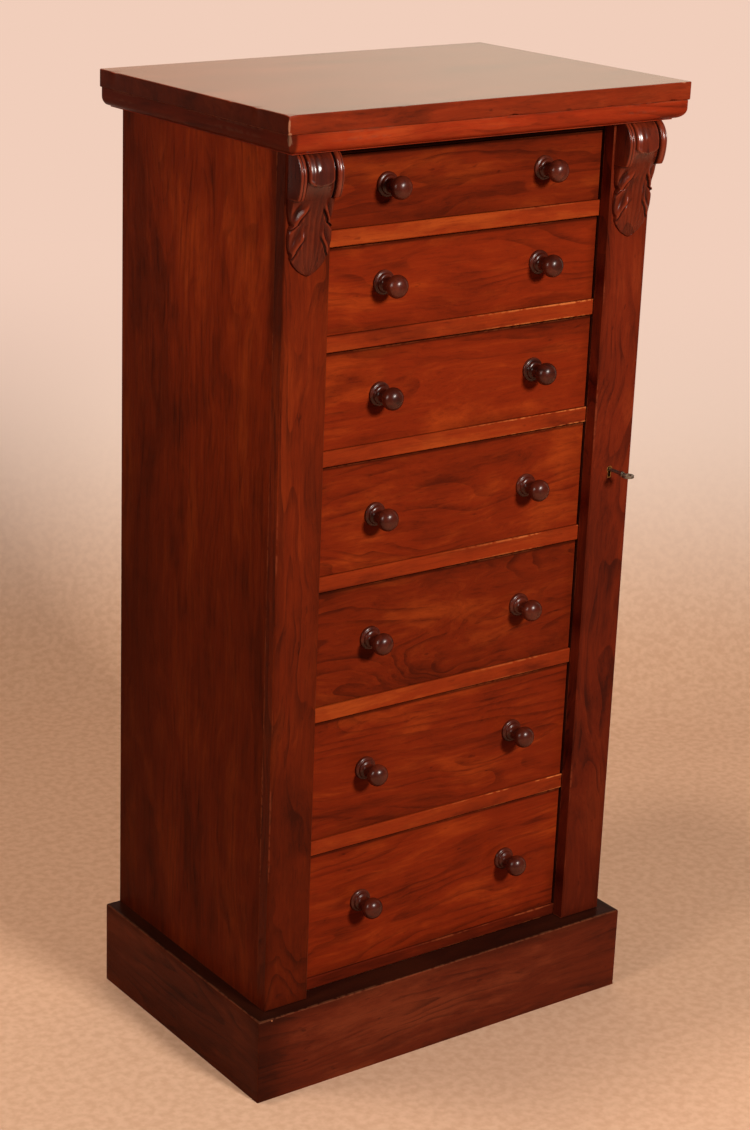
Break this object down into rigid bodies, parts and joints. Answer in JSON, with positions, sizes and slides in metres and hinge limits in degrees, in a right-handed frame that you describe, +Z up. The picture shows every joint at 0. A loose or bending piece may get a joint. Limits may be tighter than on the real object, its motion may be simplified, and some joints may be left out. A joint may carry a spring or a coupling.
{
  "type": "wellington chest",
  "caption": "Tall narrow chest of graduated drawers with turned knobs, locked by one hinged front stile with a key, on a plain plinth.",
  "frame": {"origin": "on the floor, at the bottom centre of the whole chest's bounding box, with the key in its lock", "axes": "+Z up, the drawers open towards -Y, +X to the right of someone facing the drawers"},
  "size_m": [0.562, 0.3964, 1.177],
  "materials": {
    "mahogany": "polished red-brown mahogany",
    "mahogany_side": "polished darker mahogany, straight grain",
    "mahogany_figured": "polished figured mahogany",
    "dark_turned_wood": "turned and polished dark hardwood",
    "drawer_lining": "plain unpolished secondary timber",
    "brass": "aged brass",
    "steel": "worn bright steel"
  },
  "bodies": {
    "case": {"top_board": "mahogany", "top_moulding": "mahogany", "frieze_rail": "mahogany", "top_rails": "mahogany", "side_left": "mahogany_side", "side_right": "mahogany_side", "carcass_bottom": "mahogany", "back_boards": "drawer_lining", "post_left": "drawer_lining", "post_right": "drawer_lining", "rail_1": "mahogany", "rail_2": "mahogany", "rail_3": "mahogany", "rail_4": "mahogany", "rail_5": "mahogany", "rail_6": "mahogany", "drawer_runners": "drawer_lining", "drawer_guides": "drawer_lining", "plinth_front": "mahogany", "plinth_sides": "mahogany", "plinth_inner": "drawer_lining", "stile_left": "mahogany", "corbel_left": "mahogany", "hinge_leaves_fixed": "brass", "strike_plate": "brass"},
    "flap": {"locking_stile": "mahogany", "corbel_right": "mahogany", "key_lining": "brass", "hinge_leaves_moving": "brass", "lock_case": "brass"},
    "bolt": {"lock_bolt": "steel"},
    "key": {"key": "steel"},
    "drawer_1": {"drawer_1_front": "mahogany_figured", "drawer_1_box": "drawer_lining", "drawer_1_bottom": "drawer_lining", "drawer_1_knobs": "dark_turned_wood"},
    "drawer_2": {"drawer_2_front": "mahogany_figured", "drawer_2_box": "drawer_lining", "drawer_2_bottom": "drawer_lining", "drawer_2_knobs": "dark_turned_wood"},
    "drawer_3": {"drawer_3_front": "mahogany_figured", "drawer_3_box": "drawer_lining", "drawer_3_bottom": "drawer_lining", "drawer_3_knobs": "dark_turned_wood"},
    "drawer_4": {"drawer_4_front": "mahogany_figured", "drawer_4_box": "drawer_lining", "drawer_4_bottom": "drawer_lining", "drawer_4_knobs": "dark_turned_wood"},
    "drawer_5": {"drawer_5_front": "mahogany_figured", "drawer_5_box": "drawer_lining", "drawer_5_bottom": "drawer_lining", "drawer_5_knobs": "dark_turned_wood"},
    "drawer_6": {"drawer_6_front": "mahogany_figured", "drawer_6_box": "drawer_lining", "drawer_6_bottom": "drawer_lining", "drawer_6_knobs": "dark_turned_wood"},
    "drawer_7": {"drawer_7_front": "mahogany_figured", "drawer_7_box": "drawer_lining", "drawer_7_bottom": "drawer_lining", "drawer_7_knobs": "dark_turned_wood"}
  },
  "joints": [
    {"name": "flap_hinge", "type": "hinge", "parent": "case", "child": "flap", "pos_m": [0.263, -0.1405, 0.622], "axis": [0, 0, 1], "range_deg": [0, 180]},
    {"name": "key_turn", "type": "hinge", "parent": "flap", "child": "key", "pos_m": [0.227, -0.15775, 0.709], "axis": [0, -1, 0], "range_deg": [0, 180]},
    {"name": "bolt_slide", "type": "slide", "parent": "flap", "child": "bolt", "axis": [-1, 0, 0], "range_m": [0, 0.005]},
    {"name": "drawer_1_slide", "type": "slide", "parent": "case", "child": "drawer_1", "axis": [0, -1, 0], "range_m": [0, 0.25]},
    {"name": "drawer_2_slide", "type": "slide", "parent": "case", "child": "drawer_2", "axis": [0, -1, 0], "range_m": [0, 0.25]},
    {"name": "drawer_3_slide", "type": "slide", "parent": "case", "child": "drawer_3", "axis": [0, -1, 0], "range_m": [0, 0.25]},
    {"name": "drawer_4_slide", "type": "slide", "parent": "case", "child": "drawer_4", "axis": [0, -1, 0], "range_m": [0, 0.25]},
    {"name": "drawer_5_slide", "type": "slide", "parent": "case", "child": "drawer_5", "axis": [0, -1, 0], "range_m": [0, 0.25]},
    {"name": "drawer_6_slide", "type": "slide", "parent": "case", "child": "drawer_6", "axis": [0, -1, 0], "range_m": [0, 0.25]},
    {"name": "drawer_7_slide", "type": "slide", "parent": "case", "child": "drawer_7", "axis": [0, -1, 0], "range_m": [0, 0.25]}
  ],
  "couplings": [
    {"joint": "key_turn", "follows": "bolt_slide", "rad_per_m": 628.31}
  ]
}
